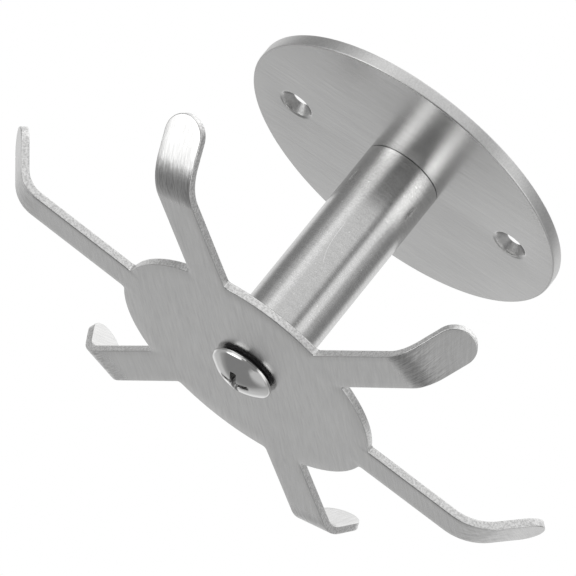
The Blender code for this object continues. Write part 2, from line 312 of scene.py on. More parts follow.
class Finish(Nodes):
    """A material with one shader, and the place of its points on the object.

    The edge tint keeps worn metal from turning white where it is seen at a flat angle.
    """

    def __init__(self, name, metallic):
        self.material = bpy.data.materials.new(name)
        self.material.use_nodes = True
        super().__init__(self.material.node_tree)
        self.shader = self.tree.nodes["Principled BSDF"].inputs
        self.shader["Metallic"].default_value = metallic
        self.shader["Specular Tint"].default_value = EDGE_TINT
        print("finish", name)

    def place(self):
        """Each point's own place on the object, in metres."""
        return self.add("ShaderNodeTexCoord", output="Object")

    def mark(self, name):
        """A vector that the mesh keeps for each of its points, under a name."""
        return self.add("ShaderNodeAttribute", {"attribute_name": name}, output="Vector")

    def mix(self, share, low, high):
        """low where the share is 0, high where it is 1."""
        return self.add("ShaderNodeMix", {}, {"Factor": share, "A": low, "B": high})

    def grey(self, value, tint=(1.0, 1.0, 1.0)):
        """A colour from one brightness: the tint times the value."""
        scaled = self.add("ShaderNodeVectorMath", {"operation": "SCALE"}, {0: tint, "Scale": value})
        self.plug(self.shader["Base Color"], scaled)

    def rough(self, value):
        """Roughness, from 0 for a mirror to 1 for chalk."""
        self.plug(self.shader["Roughness"], value)

    def relief(self, height, depth):
        """Fine relief: a height times a depth, in metres."""
        sockets = {"Height": height, "Distance": depth, "Strength": 1.0}
        self.plug(self.shader["Normal"], self.add("ShaderNodeBump", {}, sockets))


# %% [markdown]
# ## Brushed and grained steel
# Brushing leaves scratches that are long one way and a fraction of a millimetre across. Noise that
# is stretched along the brush gives the lines. A fine layer and a coarser one make the lines that
# the eye sees and their relief, and slow clouds keep the sheet from looking printed. A turned or
# sawn face is grained instead, with noise that is alike in all directions.

# %% Brushed and grained
STEEL_TINT = (1.0, 0.998, 0.992)
FINE_LINES, BROAD_LINES, CLOUDS = 5200.0, 1700.0, 55.0
BROAD_STRETCH_SHARE = 0.6


def brushed(finish, place, stretch, lines, turn=0.0):
    """Shade of brushed metal, about 1 on average, and the height of its relief, from 0 to 1.

    The shade is 1 plus each noise less a half, times its strength. The height is the mean of the
    fine lines and the broad ones. lines is how strongly the scratches show.
    """
    broad_stretch = [1.0 + (s - 1.0) * BROAD_STRETCH_SHARE for s in stretch]
    fine = finish.noise(place, FINE_LINES, roughness=0.55, stretch=stretch, turn=turn)
    broad = finish.noise(place, BROAD_LINES, detail=3.0, roughness=0.62,
                         stretch=broad_stretch, turn=turn)
    cloud = finish.noise(place, CLOUDS)
    shade = 1.0 + (fine - 0.5) * (0.7 * lines) + (broad - 0.5) * lines + (cloud - 0.5) * 0.10
    return shade, fine * 0.5 + broad * 0.5


def grained(finish, place, grains, strength):
    """Shade and height of a turned or sawn face: round grains, with finer ones in them.

    The height is a noise. The shade is 1 plus that noise less a half, times the strength.
    """
    dots = finish.noise(place, grains, detail=3.0, roughness=0.7)
    return 1.0 + (dots - 0.5) * strength, dots


line_widths = [round(1.0 / (lines * MM), 2) for lines in (FINE_LINES, BROAD_LINES)]
print("scratches", line_widths, "mm across")

# %% [markdown]
# ## Plastic and small metal parts
# The washer and the bush are nylon, the inner screw and the plugs are plain machined metal. They
# are small or hidden, so one function makes them all, with a fine even grain. The inner ones keep
# their solids and only get a finish.


# %% Smaller finishes
def plain_finish(name, metallic, colour, roughness, grains, depth):
    """An even surface with a fine grain: brightness, roughness and relief all follow one noise."""
    finish = Finish(name, metallic)
    dots = finish.noise(finish.place(), grains, detail=3.0, roughness=0.6)
    finish.grey(1.0 + (dots - 0.5) * 0.12, colour)
    finish.rough(roughness + (dots - 0.5) * 0.12)
    finish.relief(dots, depth * MM)
    return finish.material


# How metallic, colour, roughness, grains per metre, and the depth of the grain in millimetres.
SMALL_LOOKS = {
    "zinc_steel": (1.0, (0.60, 0.61, 0.63), 0.32, 1500.0, 0.006),
    "machined_plug": (1.0, (0.56, 0.56, 0.55), 0.38, 1500.0, 0.006),
    "white_nylon": (0.0, (0.78, 0.77, 0.74), 0.48, 2500.0, 0.010),
    "black_nylon": (0.0, (0.050, 0.050, 0.052), 0.45, 2500.0, 0.010)}
INNER_PARTS = {"plate_screw": "zinc_steel", "upper_plug": "machined_plug",
               "lower_plug": "machined_plug", "pivot_bush": "white_nylon"}
small_finishes = {name: plain_finish(name, *look) for name, look in SMALL_LOOKS.items()}
for node, name in INNER_PARTS.items():
    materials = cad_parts[node].data.materials
    materials.clear()
    materials.append(small_finishes[name])

# %% [markdown]
# ## The hook plate
# The real one is cut from 2 mm sheet and bent. So it is drawn as a flat blank first: one sixth of
# it, with half a pitch of hub rim, one arm with a round end, and a small fillet at each root. Its
# rim is a curve with a direction into the metal at each point, along which an eased edge profile is
# carried. Strips across the arm and a ring round the bore fill the two faces.

# %% Sizes of the blank
SHEET = 2.0 * MM
HUB_RADIUS = 35.1 * MM
BORE_RADIUS = 5.5 * MM
HALF_ARM = 5.2 * MM
ROOT_FILLET = 1.0 * MM
BLANK_REACH = 83.2 * MM
EDGE_EASE = 0.22 * MM
ARMS = 6
PITCH = math.tau / ARMS

tip_centre = BLANK_REACH - HALF_ARM
root = math.sqrt((HUB_RADIUS + ROOT_FILLET) ** 2 - (HALF_ARM + ROOT_FILLET) ** 2)
root_angle = math.degrees(math.atan2(HALF_ARM + ROOT_FILLET, root))
print("an arm's root lies", round(root / MM, 2), "mm out and",
      round(root_angle, 2), "degrees aside")

# %% [markdown]
# An arm needs points close together where it will bend, and few elsewhere. So its length is cut at
# stations: wide steps from the root, finer ones before the bend, the finest through it, and two
# more to the centre of the round end. The finest reach past the bend, because the bends differ in
# place.

# %% Stations along an arm
BEND_START = 60.8 * MM
BEND_LEAD = 4.0 * MM
BEND_DEGREES = 47.0
BEND_INNER = 10.5 * MM
BEND_REACH_SHARE = 1.5
STATION_STEPS = (7, 8, 48, 2)

bend_length = (BEND_INNER + SHEET / 2) * math.radians(BEND_DEGREES)
bend_reach = BEND_START + BEND_REACH_SHARE * bend_length
ends = (root, BEND_START - BEND_LEAD, BEND_START, bend_reach, tip_centre)
runs = [np.linspace(start, end, steps, endpoint=False)
        for start, end, steps in zip(ends, ends[1:], STATION_STEPS)]
stations = np.concatenate(runs + [[tip_centre]])
print("bend's length", round(bend_length / MM, 2), "mm,", len(stations), "stations per arm")

# %% Rim of one sixth of the blank
FILLET_STEPS = 6
END_STEPS = 32
HUB_STEPS = 30
EASE_STEPS = 4
WALL_STEPS = 4


def arm_side(inset):
    """The right side of an arm at its stations, moved into the metal by inset."""
    return np.stack([stations, np.full_like(stations, inset - HALF_ARM)], axis=1)


def rim_of_sixth(inset):
    """The rim from one hub arc's end to the next, moved into the metal by inset.

    Right root fillet, right side, round end, left side, left root fillet, and the hub's arc. The
    inset adds to the radius of the fillets, which curve inwards, and comes off all the rest.
    """
    fillet = ROOT_FILLET + inset
    right = arm_side(inset)
    corner = HALF_ARM + ROOT_FILLET
    next_root = math.degrees(PITCH) - root_angle
    parts = [arc((root, -corner), fillet, 180.0 - root_angle, 90.0, FILLET_STEPS)[:-1],
             right,
             arc((tip_centre, 0.0), HALF_ARM - inset, -90.0, 90.0, END_STEPS)[1:-1],
             right[::-1] * [1.0, -1.0],
             arc((root, corner), fillet, -90.0, root_angle - 180.0, FILLET_STEPS)[1:],
             arc((0.0, 0.0), HUB_RADIUS - inset, root_angle, next_root, HUB_STEPS)[1:]]
    return np.concatenate(parts)


def edge_profile():
    """(inset, height) from the upper face over an eased edge, down the cut wall, to the lower face.

    Each eased edge is a quarter of a circle, and the wall between them is straight.
    """
    straight = SHEET / 2 - EDGE_EASE
    upper = arc((EDGE_EASE, straight), EDGE_EASE, 90.0, 180.0, EASE_STEPS)
    levels = np.linspace(straight, -straight, WALL_STEPS + 1)[1:-1]
    wall = np.stack([np.zeros_like(levels), levels], axis=1)
    return np.concatenate([upper, wall, (upper * [1.0, -1.0])[::-1]])


profile = edge_profile()
rim_grid = np.stack([lifted(rim_of_sixth(inset), height) for inset, height in profile])
print("rim grid of one sixth:", rim_grid.shape)

# %% Faces of one sixth of the blank
STRIPS = 6
HUB_RINGS = 6


def across(right, left, steps):
    """Rows of points across: (1 - share) times the right point plus share times the left one."""
    share = np.linspace(0.0, 1.0, steps + 1)[None, :, None]
    return right[:, None, :] * (1.0 - share) + left[:, None, :] * share


def arm_face():
    """The flat face of one arm: strips between its sides, which meet in the round end's middle."""
    end = arc((tip_centre, 0.0), HALF_ARM - EDGE_EASE, -90.0, 0.0, END_STEPS // 2)[1:]
    right = np.concatenate([arm_side(EDGE_EASE), end])
    return across(right, right * [1.0, -1.0], STRIPS)


def hub_face():
    """One sixth of the hub's face: rings that pass from the bore's circle to the rim and arm roots.

    The outer line is the arm's root, the left fillet, the hub's arc, and the next arm's right
    fillet. Each of its points has one on the bore's circle at the same angle.
    """
    rim = rim_of_sixth(EDGE_EASE)
    left_root = FILLET_STEPS + len(stations) + (END_STEPS - 1) + len(stations)
    next_fillet = turned(rim[1:FILLET_STEPS + 1], PITCH)
    outer = np.concatenate([arm_face()[0], rim[left_root:], next_fillet])
    angle = np.arctan2(outer[:, 1], outer[:, 0])
    inner = circled(BORE_RADIUS + EDGE_EASE, angle)
    return across(inner, outer, HUB_RINGS).transpose(1, 0, 2), angle


face_ring, ring_angle = hub_face()
face_arm = arm_face()
bore_grid = np.stack([lifted(circled(BORE_RADIUS + inset, ring_angle), height)
                      for inset, height in profile])
print("hub ring:", face_ring.shape, "arm strips:", face_arm.shape)

# %% [markdown]
# ## Finish of the sheet
# The sheet was brushed before it was cut and bent, so the lines bend with the metal. The finish
# therefore reads two marks of each point, made below: its place on the flat blank, which gives the
# brushing and tells the cut edge from the faces, and its place along its own arm, which tells where
# the bend was dressed by hand.

# %% Sheet finish
SHEET_SHADE = 0.675
CUT_SHADE = 0.88
BRUSH_ANGLE = math.radians(-68.0)
BRUSH_DEPTH = 0.007 * MM
GRAIN_DEPTH = 0.020 * MM
# Heights from the sheet's middle between which the cut edge passes into a face, and between which
# the lower half passes into the upper one.
CUT_TO_FACE = (0.80 * MM, 0.95 * MM)
LOWER_TO_UPPER = (-0.5 * MM, 0.5 * MM)
# Lengths along the arm between which the dressing sets in, and between which it fades to a share.
DRESSING_STARTS = (BEND_START - 1.0 * MM, BEND_START + 6.0 * MM)
DRESSING_FADES = (BEND_START + 8.0 * MM, BEND_START + 17.0 * MM)
DRESSING_LEFT_SHARE = 0.16
DRESSING_ANGLE = math.radians(9.0)
DRESSING_DEPTH = 0.018 * MM


def sheet_finish():
    """Brushed faces, a grained cut edge, and streaks along the arm where the bend was dressed.

    The faces lie half the sheet's thickness from its middle, so whatever lies well within that is
    the cut edge. The dressing starts just before the bend, fades to a sixth on the way to the tip,
    and lies on the lower face, which is the outer one of the bend.
    """
    finish = Finish("brushed_sheet", metallic=1.0)
    blank, arm = finish.mark("blank"), finish.mark("arm")
    height = finish.parts(blank)[2]
    along = finish.parts(arm)[0]
    cut = finish.step(abs(height), *CUT_TO_FACE, 1.0, 0.0)
    dressed = finish.step(along, *DRESSING_STARTS)
    dressed = dressed * finish.step(along, *DRESSING_FADES, 1.0, DRESSING_LEFT_SHARE)
    dressed = dressed * finish.step(height, *LOWER_TO_UPPER, 1.0, 0.0)
    face, scratches = brushed(finish, blank, (22.0, 1.0, 1.0), lines=0.36, turn=BRUSH_ANGLE)
    streaks = finish.noise(arm, 4600.0, roughness=0.6, stretch=(14.0, 1.0, 1.0),
                           turn=DRESSING_ANGLE)
    streaks = finish.step(streaks, 0.30, 0.70)
    edge, grains = grained(finish, blank, 1500.0, strength=0.50)
    specks = finish.step(finish.noise(blank, 1900.0, roughness=0.6), 0.36, 0.62)
    edge = edge * (0.80 + specks * 0.30)
    face = finish.mix(dressed, face, face * (0.80 + streaks * 0.46))
    finish.grey(finish.mix(cut, face * SHEET_SHADE, edge * CUT_SHADE), STEEL_TINT)
    satin = 0.21 + scratches * 0.08 + dressed * 0.11
    finish.rough(finish.mix(cut, satin, 0.32 + grains * 0.16))
    depth = scratches * BRUSH_DEPTH + dressed * streaks * DRESSING_DEPTH
    finish.relief(finish.mix(cut, depth, grains * GRAIN_DEPTH), 1.0)
    return finish.material


# %% [markdown]
# ## Bending
# Bending is one rule for every point of an arm: up to the bend it stays level, then it turns about
# a centre above the sheet, and past the bend it goes on straight. The turn is the length past the
# bend's start divided by the radius of the sheet's middle, which keeps its length. The six real
# bends are not quite alike, so each arm has its own row of numbers.

# %% Bend, copy six times and weld
HOOK_TURN = math.radians(9.6)
SHEET_MIDDLE_Z = -65.7 * MM
# Each arm reads its streaks this much further aside than the one before, so that no two are alike.
STREAK_SHIFT = 30.0 * MM
# Degrees of the bend; then in millimetres its inner radius, where it starts, how much longer the
# arm is drawn before it, and how far the arm has risen when it gets there.
HAND_BENDS = (
    (45.5, 13.0, 59.2, -0.9, 0.20),
    (45.5, 8.0, 60.6, -4.2, -0.25),
    (49.5, 6.5, 61.6, -4.8, -0.45),
    (53.0, 7.5, 62.4, -0.9, 0.15),
    (46.5, 12.0, 63.3, 1.8, 0.35),
    (42.5, 12.0, 63.8, 1.5, 0.30))


def bent(points, degrees, inner_radius, start, longer, raised):
    """Bend points of an arm that lies along X.

    x is the length up to the bend, plus the radius times the sine of the turn, plus the rest of the
    length times the cosine of the whole angle. z is the radius of the middle less the radius times
    the cosine of the turn, plus the rest times the sine. The radius is the middle's less the
    height. Before that the length is drawn out evenly from root to bend, and after it z rises
    evenly from the root on.
    """
    along, side, height = points[:, 0], points[:, 1], points[:, 2]
    along = along + longer * MM * np.clip((along - root) / (BEND_START - root), 0.0, 1.0)
    angle, middle, start = math.radians(degrees), inner_radius * MM + SHEET / 2, start * MM
    turn = np.clip((along - start) / middle, 0.0, angle)
    past = np.maximum(along - start - middle * angle, 0.0)
    radius = middle - height
    x = np.minimum(along, start) + radius * np.sin(turn) + past * math.cos(angle)
    z = middle - radius * np.cos(turn) + past * math.sin(angle)
    z += raised * MM * np.maximum((x - root) / (BEND_START - root), 0.0)
    return np.stack([x, side, z], axis=1)


sixth = [patch(rim_grid), patch(bore_grid)]
for height in (SHEET / 2, -SHEET / 2):
    sixth += [patch(lifted(face_ring, height)), patch(lifted(face_arm, height))]
blank_points, blank_faces = join(sixth)
sixths, blank_marks, arm_marks = [], [], []
for arm, bend in enumerate(HAND_BENDS):
    placed = turned(bent(blank_points, *bend), arm * PITCH + HOOK_TURN) + [0.0, 0.0, SHEET_MIDDLE_Z]
    sixths.append((placed, blank_faces))
    blank_marks.append(turned(blank_points, arm * PITCH))
    arm_marks.append(blank_points + [0.0, STREAK_SHIFT * arm, 0.0])
make_piece("hook_sheet", sixths, "carousel", "hook_plate", sheet_finish(),
           marks={"blank": np.concatenate(blank_marks), "arm": np.concatenate(arm_marks)})

# %% [markdown]
# ## The round plate
# A disc turned from bar: eased edges, two countersunk holes, and a shallow recess behind so that it
# bears on its rim. The walls are profiles turned round an axis. The two flat faces have three
# round openings each, and a net of triangles joins circles of points without a grid.

# %% Sizes of the plate
PLATE_RADIUS = 43.6 * MM
PLATE_FRONT = -3.2 * MM
PLATE_EASE = 0.35 * MM
WEB_BACK = -0.95 * MM
RECESS_RADIUS = 39.5 * MM
HOLE_PLACE = 31.0 * MM
HOLE_RADIUS = 2.2 * MM
SINK_RADIUS = 4.5 * MM
SINK_EASE = 0.50 * MM
SINK_ROUND = 2.4 * SINK_EASE
CENTRE_BORE = 2.8 * MM
CENTRE_SINK = 4.3 * MM
PLATE_SEGMENTS = 288
HOLE_SEGMENTS = 72
ROUND_STEPS = 5
# Points of a flat face nearer than this, in metres, are one.
SAME_POINT = 1e-9
print("plate", round(2 * PLATE_RADIUS / MM, 1), "mm wide, holes",
      round(2 * HOLE_PLACE / MM, 1), "mm apart")


# %% Flat faces with openings
def flat_face(outer, holes, height):
    """A disc of radius outer at a height, less round holes given as (x, radius).

    Triangles are laid over all the circles, and those whose middle lies in a hole are left out. A
    hole's circle has straight edges, so it starts at the radius times the cosine of half a step.
    """
    circles = [(0.0, outer, PLATE_SEGMENTS)] + [(x, radius, HOLE_SEGMENTS) for x, radius in holes]
    points, edges, start = [], [], 0
    for x, radius, segments in circles:
        circle = circled(radius, np.linspace(0.0, math.tau, segments, endpoint=False)) + [x, 0.0]
        points += circle.tolist()
        number = np.arange(start, start + segments)
        edges += zip(number.tolist(), np.roll(number, -1).tolist())
        start += segments
    flat, _, faces, *_ = delaunay_2d_cdt(points, edges, [], 0, SAME_POINT)
    flat, faces = np.array(flat), np.array(faces)
    middle = flat[faces].mean(axis=1)
    keep = np.hypot(middle[:, 0], middle[:, 1]) < outer
    for x, radius in holes:
        edge = radius * math.cos(math.pi / HOLE_SEGMENTS)
        keep &= np.hypot(middle[:, 0] - x, middle[:, 1]) > edge
    return lifted(flat, height), faces[keep]


sink_mouth = SINK_RADIUS + SINK_EASE
front_holes = [(-HOLE_PLACE, sink_mouth), (0.0, CENTRE_BORE), (HOLE_PLACE, sink_mouth)]
back_holes = [(-HOLE_PLACE, HOLE_RADIUS), (0.0, CENTRE_SINK), (HOLE_PLACE, HOLE_RADIUS)]
front_face = flat_face(PLATE_RADIUS - PLATE_EASE, front_holes, PLATE_FRONT)
back_face = flat_face(RECESS_RADIUS, back_holes, WEB_BACK)
print("triangles of the front", len(front_face[1]), "and of the back", len(back_face[1]))

# %% [markdown]
# ## Finish of the plate
# The face is brushed straight along the line of the two holes, and a painted sheen makes it a
# little brighter towards +X. The countersinks and the rim were turned afterwards, so they are
# grained, and the countersinks are also painted darker, as painted shade. The rim also has a faint
# hatch, noise that is drawn out along Z.

# %% Plate finish
# PLATE_SHADES: the face's shade on its plain side, and on the side with painted sheen towards +X.
PLATE_SHADES = (0.705, 0.81)
# The countersinks are painted darker than the face: painted shade on their turned grain.
SINK_PAINTED_SHADE = 0.60
RIM_SHADE = 0.66
PLATE_DEPTH = 0.005 * MM
# Places between which one finish passes into the next: out to the rim, in to a countersink, and
# from the plain side of the face to the side with painted sheen.
FACE_TO_RIM = (PLATE_RADIUS - 0.50 * MM, PLATE_RADIUS - 0.20 * MM)
FACE_TO_SINK = (PLATE_FRONT + 0.35 * MM, PLATE_FRONT + 0.70 * MM)
PLAIN_TO_PAINTED_SHEEN = (5.0 * MM, 42.0 * MM)


def plate_finish():
    """Brushed face, grained rim and countersinks.

    The rim is told by the distance from the axis, the root of x squared plus y squared, and a
    countersink by its height behind the face. The face is drawn lighter towards +X as a painted
    sheen, and the countersinks darker as painted shade.
    """
    finish = Finish("satin_plate", metallic=1.0)
    place = finish.place()
    x, y, z = finish.parts(place)
    away = (x * x + y * y).math("SQRT")
    rim = finish.step(away, *FACE_TO_RIM)
    sunk = finish.step(z, *FACE_TO_SINK)
    face, scratches = brushed(finish, place, (26.0, 1.0, 1.0), lines=0.22)
    turned_face, grains = grained(finish, place, 2600.0, strength=0.55)
    hatch = finish.noise(place, 3800.0, detail=1.0, stretch=(1.0, 1.0, 6.0))
    # Painted sheen: the face is drawn lighter towards +X.
    painted_sheen = finish.step(x, *PLAIN_TO_PAINTED_SHEEN, *PLATE_SHADES)
    # In the countersinks the grained shade is painted darker, as painted shade.
    face = finish.mix(sunk, face * painted_sheen, turned_face * SINK_PAINTED_SHADE)
    finish.grey(finish.mix(rim, face, turned_face * (RIM_SHADE + hatch * 0.12)), STEEL_TINT)
    satin = finish.mix(sunk, 0.19 + scratches * 0.06, 0.34)
    finish.rough(finish.mix(rim, satin, 0.30 + grains * 0.14))
    finish.relief(finish.mix(rim, scratches, grains), PLATE_DEPTH)
    return finish.material


# %% Plate walls, holes and the weld
outer_wall = np.concatenate([
    arc((PLATE_RADIUS - PLATE_EASE, PLATE_FRONT + PLATE_EASE), PLATE_EASE, -90.0, 0.0, ROUND_STEPS),
    arc((PLATE_RADIUS - PLATE_EASE, -PLATE_EASE), PLATE_EASE, 0.0, 90.0, ROUND_STEPS),
    [(RECESS_RADIUS, 0.0), (RECESS_RADIUS, WEB_BACK)]])
hole_wall = np.concatenate([
    arc((sink_mouth, PLATE_FRONT + SINK_ROUND), SINK_ROUND, -90.0, -135.0, ROUND_STEPS),
    [(HOLE_RADIUS, PLATE_FRONT + SINK_RADIUS - HOLE_RADIUS), (HOLE_RADIUS, WEB_BACK)]])
centre_wall = [(CENTRE_BORE, PLATE_FRONT), (CENTRE_BORE, WEB_BACK - (CENTRE_SINK - CENTRE_BORE)),
               (CENTRE_SINK, WEB_BACK)]
plate_patches = [front_face, back_face,
                 spun(outer_wall, PLATE_SEGMENTS), spun(centre_wall, HOLE_SEGMENTS),
                 spun(hole_wall, HOLE_SEGMENTS, (-HOLE_PLACE, 0.0)),
                 spun(hole_wall, HOLE_SEGMENTS, (HOLE_PLACE, 0.0))]
make_piece("round_plate", plate_patches, "root", "base_plate", plate_finish())

# %% [markdown]
# ## The post
# A drawn tube, faced square at both ends with eased edges. It is one closed profile turned about
# the axis, with enough segments that its straight reflections stay straight. It was brushed round
# its girth against a belt, and it has a grain in the brushing, a few bright nicks and one long
# curved scratch. Such wear is shallower than any mesh, so it is drawn in the finish.

# %% Sizes of the post and its scratch
POST_RADIUS = 10.0 * MM
POST_BORE = 8.5 * MM
POST_TOP = -3.26 * MM
POST_BOTTOM = -63.3 * MM
POST_EASE = 0.15 * MM
POST_SEGMENTS = 256
POST_ROWS = 11
POST_EASE_STEPS = 3
POST_SHADE = 0.69
POST_DEPTH = 0.006 * MM

SCRATCH_TOP = -26.0 * MM
SCRATCH_LENGTH = 11.7 * MM
SCRATCH_START = math.radians(-75.8) * POST_RADIUS - 3.4 * MM
SCRATCH_BOW = 0.78 * MM
SCRATCH_HOOK = 1.32 * MM
SCRATCH_EDGE = (0.03 * MM, 0.11 * MM)
SCRATCH_END_SHARE = 0.06
print("post", round((POST_TOP - POST_BOTTOM) / MM, 2), "mm long")


# %% Post finish
def post_finish():
    """Satin post with its wear.

    The scratch's place round the post is its start, plus the bow times the square of the share of
    the way down, plus the hook times the fourth power of that share.
    """
    finish = Finish("satin_post", metallic=1.0)
    place = finish.place()
    x, y, z = finish.parts(place)
    shade, scratches = brushed(finish, place, (9.0, 9.0, 1.0), lines=0.26)
    grains, dots = grained(finish, place, 3200.0, strength=0.24)
    specks = finish.step(finish.noise(place, 4200.0, detail=1.0), 0.36, 0.64)
    nicks = finish.step(finish.noise(place, 1300.0, detail=1.0), 0.73, 0.77)
    around = y.math("ARCTAN2", x) * POST_RADIUS
    down = (SCRATCH_TOP - z) * (1.0 / SCRATCH_LENGTH)
    square = down * down
    path = square * SCRATCH_BOW + square * square * SCRATCH_HOOK + SCRATCH_START
    scratch = finish.step(abs(around - path), *SCRATCH_EDGE, 1.0, 0.0)
    scratch = scratch * finish.step(down, 0.0, SCRATCH_END_SHARE)
    scratch = scratch * finish.step(down, 1.0 - SCRATCH_END_SHARE, 1.0, 1.0, 0.0)
    shade = shade * (0.93 + specks * 0.14) + nicks * 0.30 + scratch * 0.26
    finish.grey(shade * grains * POST_SHADE, STEEL_TINT)
    finish.rough(0.15 + scratches * 0.10)
    finish.relief(scratches * 0.6 + dots * 0.4, POST_DEPTH)
    return finish.material


# %% Post
levels = np.linspace(POST_TOP - POST_EASE, POST_BOTTOM + POST_EASE, POST_ROWS + 2)[1:-1]
post_profile = np.concatenate([
    [(POST_BORE, POST_TOP)],
    arc((POST_RADIUS - POST_EASE, POST_TOP - POST_EASE), POST_EASE, 90.0, 0.0, POST_EASE_STEPS),
    np.stack([np.full_like(levels, POST_RADIUS), levels], axis=1),
    arc((POST_RADIUS - POST_EASE, POST_BOTTOM + POST_EASE), POST_EASE, 0.0, -90.0, POST_EASE_STEPS),
    [(POST_BORE, POST_BOTTOM), (POST_BORE, POST_TOP)]])
make_piece("post", [spun(post_profile, POST_SEGMENTS)], "root", "post_tube",
           post_finish())

# %% [markdown]
# ## The pivot screw
# The screw's head is a low dome with a wide cross recess. A sharp recess can't be a height on a
# round grid, because the grid would cut across its edges. So the recess's outline is drawn as a
# closed curve with rounded corners. Rings pass from the head's rim in to that curve over the dome,
# then over the curve's eased lip and down the wings to a smaller cross, the floor.

# %% Screw sizes
HEAD_RADIUS = 8.3 * MM
HEAD_RIM = 0.75 * MM
RIM_EASE = 0.25 * MM
DOME = 3.00 * MM
HEAD_TOP = -67.70 * MM
CROWN = HEAD_TOP - HEAD_RIM - DOME
SHANK_RADIUS = 4.0 * MM
SHANK_TOP = -53.3 * MM
CROSS_TURN = math.radians(-10.0)
CROSS_SPAN = 7.8 * MM
CROSS_WIDTH = 1.7 * MM
CROSS_DEPTH = 2.6 * MM
LIP = 0.12 * MM
# Radii of the corners at the wings' ends, and of those between the wings.
OUTLINE_CORNERS = (0.35 * MM, 0.30 * MM)
MOUTH_CORNERS = (0.30 * MM, 0.35 * MM)
FLOOR_CORNERS = (0.20 * MM, 0.20 * MM)
FLOOR_SPAN_SHARE, FLOOR_WIDTH_SHARE = 0.45, 0.7
WING_STEPS = 6
CORNER_STEPS = 5
print("crown of the dome at", round(CROWN / MM, 2), "mm")


# %% Cross and dome
def cross_curve(span, width, corner, inner):
    """A closed curve round a cross of four wings, with its outer and inner corners rounded.

    One wing lies along X: from the inner corner below it, along its side, round its end and back.
    The other three are the same, turned by quarters of a circle.
    """
    half, reach = width / 2, span / 2
    start = np.array([half + inner, -half])
    side = np.concatenate([
        np.linspace(start, (reach - corner, -half), WING_STEPS + 1)[:-1],
        arc((reach - corner, -half + corner), corner, -90.0, 0.0, CORNER_STEPS)])
    inside = arc((half + inner, half + inner), inner, -90.0, -180.0, CORNER_STEPS)[1:-1]
    quarter = np.concatenate([side, (side * [1.0, -1.0])[::-1], inside])
    return np.concatenate([turned(quarter, math.tau / 4 * wing) for wing in range(4)])


def dome_height(flat):
    """Height of the dome: it falls with the square of the radius, and is rounded at the rim.

    The rounding is a quarter circle: the ease times one minus the root of one minus a square.
    """
    radius = np.hypot(flat[:, 0], flat[:, 1])
    cap = DOME * (1.0 - (radius / HEAD_RADIUS) ** 2)
    near_rim = np.clip((radius - HEAD_RADIUS + RIM_EASE) / RIM_EASE, 0.0, 1.0)
    return HEAD_TOP - HEAD_RIM - cap + RIM_EASE * (1.0 - np.sqrt(1.0 - near_rim ** 2))


outline = cross_curve(CROSS_SPAN + 2 * LIP, CROSS_WIDTH + 2 * LIP, *OUTLINE_CORNERS)
mouth = cross_curve(CROSS_SPAN, CROSS_WIDTH, *MOUTH_CORNERS)
cross_floor = cross_curve(CROSS_SPAN * FLOOR_SPAN_SHARE, CROSS_WIDTH * FLOOR_WIDTH_SHARE,
                          *FLOOR_CORNERS)
print("outline of the cross:", len(outline), "points")

# %% Screw head rings
DOME_RINGS = 36
LIP_DEGREES = (30.0, 60.0, 90.0)
RECESS_RINGS = 8
# The floor's own dish: share of the cross's size, and how much deeper it lies there.
FLOOR_DISH = ((0.4, 0.15 * MM), (0.0, 0.25 * MM))


def head_rings():
    """Rings of points from the shank under the head, over the dome and down into the cross.

    A ring between two outlines is (1 - share) times the outer one plus share times the inner one.
    The shares over the dome follow a sine, so that the rings lie closest near the cross.
    """
    angle = np.arctan2(outline[:, 1], outline[:, 0])
    under = [(0.0, SHANK_TOP), (SHANK_RADIUS, SHANK_TOP),
             (SHANK_RADIUS, HEAD_TOP), (HEAD_RADIUS, HEAD_TOP)]
    rings = [lifted(circled(radius, angle), height) for radius, height in under]
    rim = circled(HEAD_RADIUS, angle)
    for share in np.sin(np.radians(np.linspace(0.0, 90.0, DOME_RINGS))):
        flat = rim * (1.0 - share) + outline * share
        rings.append(lifted(flat, dome_height(flat)))
    for step in np.radians(LIP_DEGREES):
        flat = outline + (mouth - outline) * math.sin(step)
        rings.append(lifted(flat, dome_height(flat) + LIP * (1.0 - math.cos(step))))
    mouth_height, floor_height = rings[-1][:, 2], CROWN + CROSS_DEPTH
    for share in np.linspace(0.0, 1.0, RECESS_RINGS + 1)[1:]:
        flat = mouth * (1.0 - share) + cross_floor * share
        rings.append(lifted(flat, mouth_height * (1.0 - share) + floor_height * share))
    rings += [lifted(cross_floor * share, floor_height + deeper) for share, deeper in FLOOR_DISH]
    return np.stack(rings)


screw_points, screw_faces = patch(head_rings(), wrap=True)
print("screw rings:", len(screw_faces), "faces")

# %% [markdown]
# ## Finish of the screw
# The dome is buffed almost to a mirror. The cross was punched, which leaves dull walls with bright
# flecks, and its walls are painted dark, as painted shade in the recess. What lies more than a hair
# above the dome's own height must be in the cross, so the finish works that height out again from
# the same sizes.

# %% Screw finish
DOME_SHADE = 0.82
# The cross's walls are painted this dark: painted shade in the recess.
RECESS_PAINTED_SHADE = 0.28
DOME_DEPTH = 0.003 * MM
# Heights above the dome between which it passes into the cross, and distances from the axis, a
# little past the wings, beyond which nothing is taken for the cross.
DOME_TO_CROSS = (0.10 * MM, 0.30 * MM)
PAST_WINGS = (0.62 * CROSS_SPAN, 0.66 * CROSS_SPAN)


